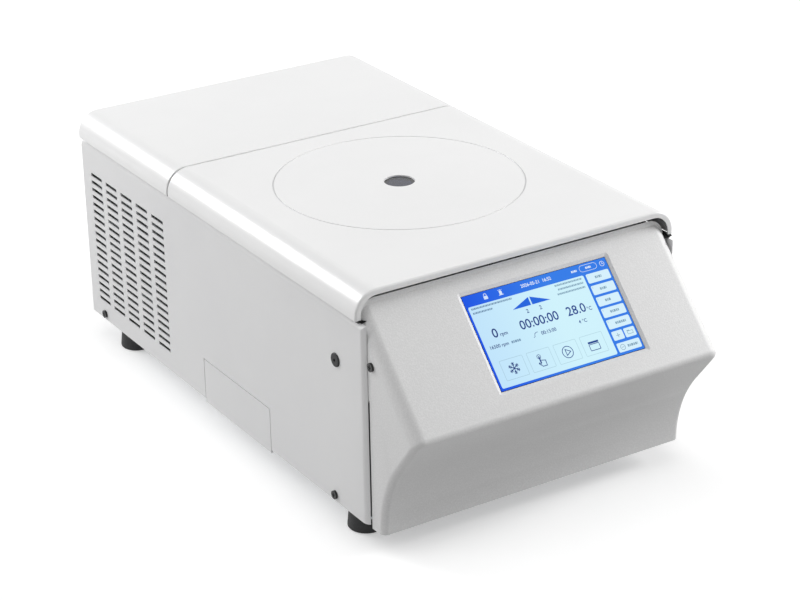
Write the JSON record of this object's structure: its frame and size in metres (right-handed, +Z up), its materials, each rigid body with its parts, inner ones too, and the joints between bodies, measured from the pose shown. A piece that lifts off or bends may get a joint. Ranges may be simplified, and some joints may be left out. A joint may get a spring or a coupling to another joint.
{
  "type": "refrigerated microcentrifuge",
  "caption": "Bench refrigerated microcentrifuge with a hinged lid, sloped touch display, vented sides, angle rotor, latch and sliding condensate tray.",
  "frame": {"origin": "on the bench under the middle of the body outline", "axes": "+X to the right seen from the front, +Y from the display to the rear panel, +Z up"},
  "size_m": [0.337, 0.6201, 0.2435],
  "materials": {
    "cover_white": "smooth white stoved paint, satin gloss",
    "panel_grey": "pale grey-white powder coat, fine satin",
    "fascia_plastic": "moulded pale grey plastic with a fine pebble grain",
    "lining_plastic": "moulded light grey plastic",
    "touch_glass": "lit blue and pale touch display under clear glass",
    "sight_glass": "clear glass over the dark sight tube",
    "black_rubber": "black moulded rubber",
    "grey_rubber": "grey silicone seal",
    "black_plastic": "black moulded plastic",
    "stainless": "brushed and spun stainless steel",
    "zinc_steel": "zinc-plated pressed steel",
    "guard_steel": "black oxide steel ring",
    "foam": "cream polyurethane foam",
    "rotor_aluminium": "dark anodised aluminium",
    "motor_paint": "black paint on steel",
    "copper": "drawn copper",
    "fin_aluminium": "thin bright aluminium fins",
    "board_green": "green circuit board with parts",
    "nut_aluminium": "clear anodised aluminium"
  },
  "bodies": {
    "body": {"chamber_bowl": "stainless", "chamber_insulation": "foam", "chassis_tray": "zinc_steel", "compressor": "motor_paint", "compressor_mounts": "black_rubber", "condenser": "fin_aluminium", "discharge_pipe": "copper", "display_board": "board_green", "display_panel": "black_plastic", "drive_board": "board_green", "drive_motor": "motor_paint", "evaporator_coil": "copper", "fan_shroud": "black_plastic", "fascia_screws": "zinc_steel", "filter_drier": "copper", "foot_front_left": "black_rubber", "foot_front_right": "black_rubber", "foot_rear_left": "black_rubber", "foot_rear_right": "black_rubber", "front_fascia": "fascia_plastic", "fuse_holders": "black_plastic", "guard_ring": "guard_steel", "hinge_bracket_left": "zinc_steel", "hinge_bracket_right": "zinc_steel", "hinge_rod": "stainless", "hook_pin": "stainless", "latch_bracket": "zinc_steel", "latch_motor": "zinc_steel", "mains_inlet": "black_plastic", "motor_dampers": "black_rubber", "motor_plate": "zinc_steel", "panel_screws": "zinc_steel", "power_board": "board_green", "rear_panel": "panel_grey", "rear_screws": "zinc_steel", "rear_top_cover": "cover_white", "side_panel_left": "panel_grey", "side_panel_right": "panel_grey", "switch_frame": "black_plastic", "top_deck": "panel_grey", "touch_glass": "touch_glass"},
    "lid": {"lid_shell": "cover_white", "lid_lining": "lining_plastic", "lid_sight_glass": "sight_glass", "lid_insulation": "foam", "lid_gasket": "grey_rubber", "lid_striker": "stainless", "lid_hinge_leaf_left": "zinc_steel", "lid_hinge_leaf_right": "zinc_steel"},
    "rotor": {"angle_rotor": "rotor_aluminium", "rotor_shaft": "stainless"},
    "nut": {"rotor_nut": "nut_aluminium"},
    "hook": {"latch_hook": "zinc_steel"},
    "fan": {"fan_blades": "black_plastic"},
    "rocker": {"power_rocker": "black_plastic"},
    "plug": {"release_plug": "black_rubber"},
    "tray": {"condensate_tray": "panel_grey"}
  },
  "joints": [
    {"name": "lid_hinge", "type": "hinge", "parent": "body", "child": "lid", "pos_m": [0, 0.1102, 0.2392], "axis": [-1, 0, 0], "range_deg": [0, 80]},
    {"name": "rotor_spin", "type": "hinge", "parent": "body", "child": "rotor", "pos_m": [0, -0.032, 0.1193], "axis": [0, 0, 1], "continuous": true},
    {"name": "rotor_nut_turn", "type": "hinge", "parent": "rotor", "child": "nut", "pos_m": [0, -0.032, 0.1593], "axis": [0, 0, 1], "range_deg": [0, 720]},
    {"name": "latch_hook_turn", "type": "hinge", "parent": "body", "child": "hook", "pos_m": [0, -0.192, 0.17], "axis": [1, 0, 0], "range_deg": [0, 18]},
    {"name": "fan_spin", "type": "hinge", "parent": "body", "child": "fan", "pos_m": [-0.1249, 0.222, 0.108], "axis": [1, 0, 0], "continuous": true},
    {"name": "power_rocker_tip", "type": "hinge", "parent": "body", "child": "rocker", "pos_m": [-0.055, 0.3025, 0.104], "axis": [1, 0, 0], "range_deg": [0, 20]},
    {"name": "release_plug_pull", "type": "slide", "parent": "body", "child": "plug", "axis": [-1, 0, 0], "range_m": [0, 0.02]},
    {"name": "condensate_tray_slide", "type": "slide", "parent": "body", "child": "tray", "axis": [-1, 0, 0], "range_m": [0, 0.09]}
  ]
}
